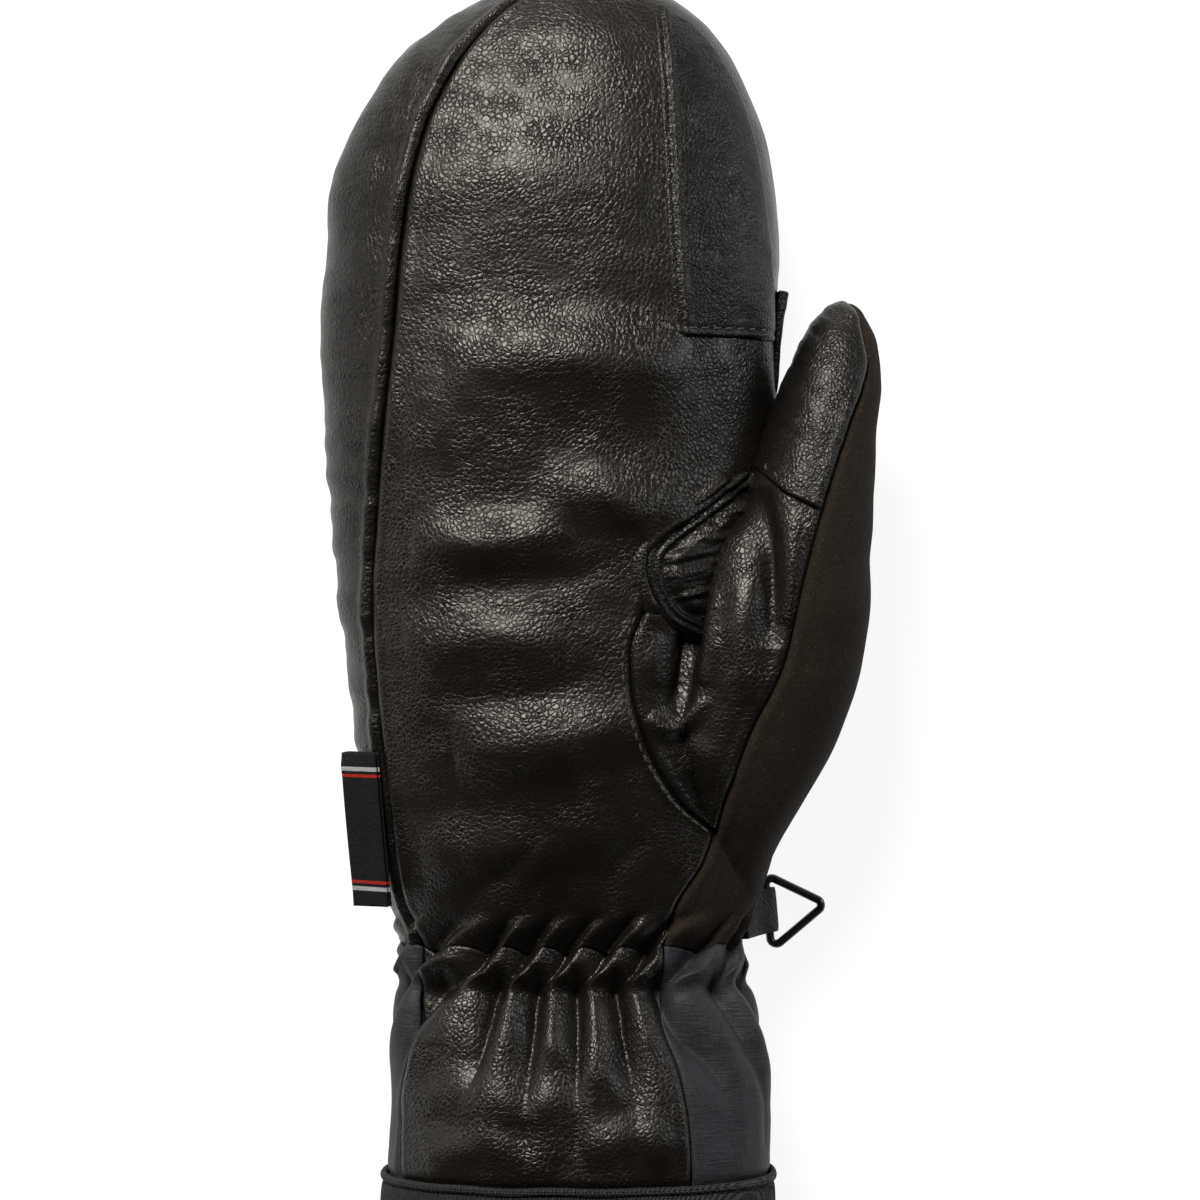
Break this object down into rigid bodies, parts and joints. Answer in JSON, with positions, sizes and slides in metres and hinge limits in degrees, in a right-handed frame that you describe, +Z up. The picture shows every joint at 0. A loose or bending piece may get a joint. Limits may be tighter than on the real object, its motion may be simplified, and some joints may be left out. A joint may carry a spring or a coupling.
{
  "type": "ski mitten",
  "caption": "Padded leather ski mitten with a separate thumb, elastic wrist, gauntlet cuff and a ring on a side loop for clipping it up.",
  "frame": {"origin": "on the table under the middle of the mitten, which lies on its back with the palm up", "axes": "+X across the hand towards the thumb, +Y from the cuff to the fingertips, +Z up from the back to the palm"},
  "size_m": [0.1335, 0.304, 0.0631],
  "materials": {
    "leather": "pebbled, semi-gloss",
    "patch_leather": "smooth, shiny",
    "softshell": "matte woven",
    "cuff_nylon": "matte woven",
    "binding": "ribbed",
    "batting": "fluffy",
    "membrane": "smooth film",
    "fleece": "brushed",
    "elastic": "woven",
    "label": "woven satin",
    "ring_metal": "black paint"
  },
  "bodies": {
    "hand": {"palm_panel": "leather", "outer_side_panel": "leather", "back_panel": "softshell", "thumb_crotch_patch": "patch_leather", "thumb_crotch_piping": "patch_leather", "palm_batting": "batting", "back_batting": "batting", "waterproof_insert": "membrane", "fleece_lining": "fleece", "upper_wrist_elastic": "elastic"},
    "fingers": {"index_patch": "patch_leather", "index_side_welt": "patch_leather", "finger_palm_batting": "batting", "finger_back_batting": "batting"},
    "thumb": {"thumb_batting": "batting", "thumb_tip_patch": "patch_leather", "thumb_palm_panel": "leather", "thumb_back_panel": "softshell"},
    "cuff": {"cuff_palm_panel": "leather", "cuff_outer_side_panel": "cuff_nylon", "cuff_thumb_side_panel": "cuff_nylon", "cuff_back_panel": "cuff_nylon", "cuff_lining": "fleece", "lower_wrist_elastic": "elastic", "hem_band": "binding", "hem_piping": "binding"},
    "ring_tab": {"ring_loop": "leather"},
    "ring": {"clip_ring": "ring_metal"},
    "label": {"side_label": "label"}
  },
  "joints": [
    {"name": "finger_curl", "type": "hinge", "parent": "hand", "child": "fingers", "pos_m": [0, 0.036, 0.048], "axis": [1, 0, 0], "range_deg": [0, 60], "deforming": ["palm_panel", "outer_side_panel", "back_panel", "waterproof_insert", "fleece_lining"]},
    {"name": "thumb_flex", "type": "hinge", "parent": "hand", "child": "thumb", "pos_m": [0.04, -0.016, 0.054], "axis": [0.9755, -0.2201, 0], "range_deg": [0, 40], "deforming": ["thumb_palm_panel", "thumb_back_panel", "thumb_crotch_patch", "thumb_crotch_piping"]},
    {"name": "wrist_bend", "type": "hinge", "parent": "hand", "child": "cuff", "pos_m": [-0.007, -0.088, 0.0245], "axis": [-1, 0, 0], "range_deg": [-35, 35], "deforming": ["cuff_palm_panel", "cuff_outer_side_panel", "cuff_thumb_side_panel", "cuff_back_panel", "cuff_lining", "lower_wrist_elastic"]},
    {"name": "tab_flap", "type": "hinge", "parent": "hand", "child": "ring_tab", "pos_m": [0.0356, -0.0775, 0.0135], "axis": [0.0848, -0.9964, 0], "range_deg": [-15, 75]},
    {"name": "ring_swing", "type": "hinge", "parent": "ring_tab", "child": "ring", "pos_m": [0.0418, -0.0776, 0.00105], "axis": [0.0848, -0.9964, 0], "range_deg": [-90, 65]},
    {"name": "label_flap", "type": "hinge", "parent": "hand", "child": "label", "pos_m": [-0.0515, -0.05425, 0.04275], "axis": [-0.0817, 0.9943, 0.0681], "range_deg": [0, 90]}
  ]
}
